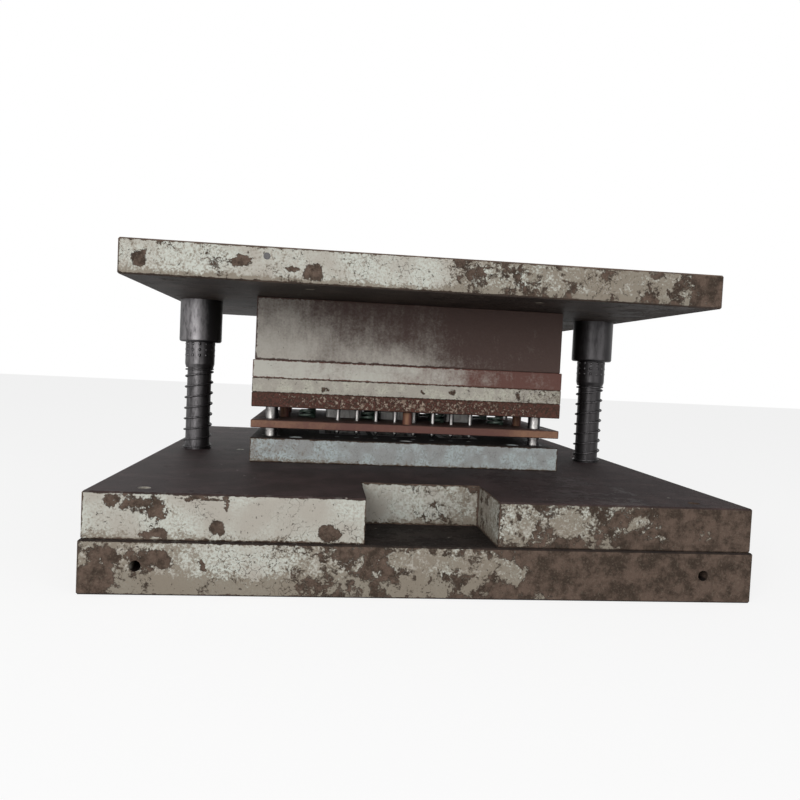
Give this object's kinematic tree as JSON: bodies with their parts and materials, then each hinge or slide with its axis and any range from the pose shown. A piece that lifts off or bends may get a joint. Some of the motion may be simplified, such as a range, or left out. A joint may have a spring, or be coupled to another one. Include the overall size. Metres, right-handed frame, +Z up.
{
  "type": "press die set",
  "caption": "Two-post press die set: lower shoe on a base plate, ball-cage guide posts, spring-loaded stripper and a stacked upper half that slides down onto the die plate.",
  "frame": {"origin": "on the floor, under the middle of the base plate", "axes": "+X to the right along the row of punch stations, +Y to the back, away from the notched front, +Z up along the guide posts"},
  "size_m": [0.644, 0.704, 0.333],
  "materials": {
    "lower_plates": "pale grey-green paint, chipped to brown rust, oiled dark top",
    "upper_plate_paint": "pale grey-green paint, chipped and pitted",
    "riser_steel": "ground steel, stained from grey-beige to red brown",
    "stack_plates": "pale coated plates with rust along the edges",
    "rusty_steel": "matt red-brown rust",
    "die_plate_steel": "pale blue-grey coating",
    "tool_steel": "ground tool steel",
    "guide_steel": "dark oiled ground steel",
    "cage_steel": "dark oiled sleeve",
    "bright_steel": "polished pins and balls",
    "spring_wire": "dark oiled wire",
    "green_spring": "dark green enamel",
    "screw_steel": "blackened screws",
    "dowel_steel": "ground dowels"
  },
  "bodies": {
    "root": {"base_dowels": "dowel_steel", "base_plate": "lower_plates", "base_screws": "screw_steel", "cage_spring_left": "spring_wire", "cage_spring_right": "spring_wire", "die_dowels": "dowel_steel", "die_guide_bushes": "tool_steel", "die_insert_left": "tool_steel", "die_insert_middle": "tool_steel", "die_insert_right": "tool_steel", "die_plate": "die_plate_steel", "die_screws": "screw_steel", "die_shoe": "lower_plates", "guide_post_left": "guide_steel", "guide_post_right": "guide_steel"},
    "stripper": {"stripper_plate": "rusty_steel", "stripper_bushes": "tool_steel", "stripper_bolts": "rusty_steel", "die_springs": "green_spring"},
    "upper_die": {"upper_plate": "upper_plate_paint", "upper_plate_plug": "screw_steel", "guide_bush_left": "guide_steel", "guide_bush_right": "guide_steel", "riser_block": "riser_steel", "spacer_plate": "stack_plates", "backing_plate": "stack_plates", "punch_plate": "rusty_steel", "punch_left": "tool_steel", "punch_middle": "tool_steel", "punch_right": "tool_steel", "pilot_pins": "bright_steel", "sub_guide_pins": "bright_steel", "riser_screws": "screw_steel", "riser_dowels": "dowel_steel", "stack_screws": "screw_steel", "stack_dowels": "dowel_steel"},
    "ball_cage_left": {"ball_cage_left": "cage_steel", "cage_balls_left": "bright_steel"},
    "ball_cage_right": {"ball_cage_right": "cage_steel", "cage_balls_right": "bright_steel"}
  },
  "joints": [
    {"name": "stripper_travel", "type": "slide", "parent": "root", "child": "stripper", "axis": [0, 0, 1], "range_m": [-0.011, 0.04]},
    {"name": "punch_stroke", "type": "slide", "parent": "stripper", "child": "upper_die", "axis": [0, 0, 1], "range_m": [-0.013, 0], "stiffness_N_per_m": 400000, "springref_m": 0.008, "deforming": ["die_springs"]},
    {"name": "cage_left_travel", "type": "slide", "parent": "root", "child": "ball_cage_left", "axis": [0, 0, 1], "range_m": [-0.0055, 0.02], "deforming": ["cage_spring_left"]},
    {"name": "cage_right_travel", "type": "slide", "parent": "root", "child": "ball_cage_right", "axis": [0, 0, 1], "range_m": [-0.0055, 0.02], "deforming": ["cage_spring_right"]}
  ],
  "couplings": [
    {"joint": "cage_left_travel", "follows": "stripper_travel", "ratio": 0.5},
    {"joint": "cage_right_travel", "follows": "stripper_travel", "ratio": 0.5}
  ]
}
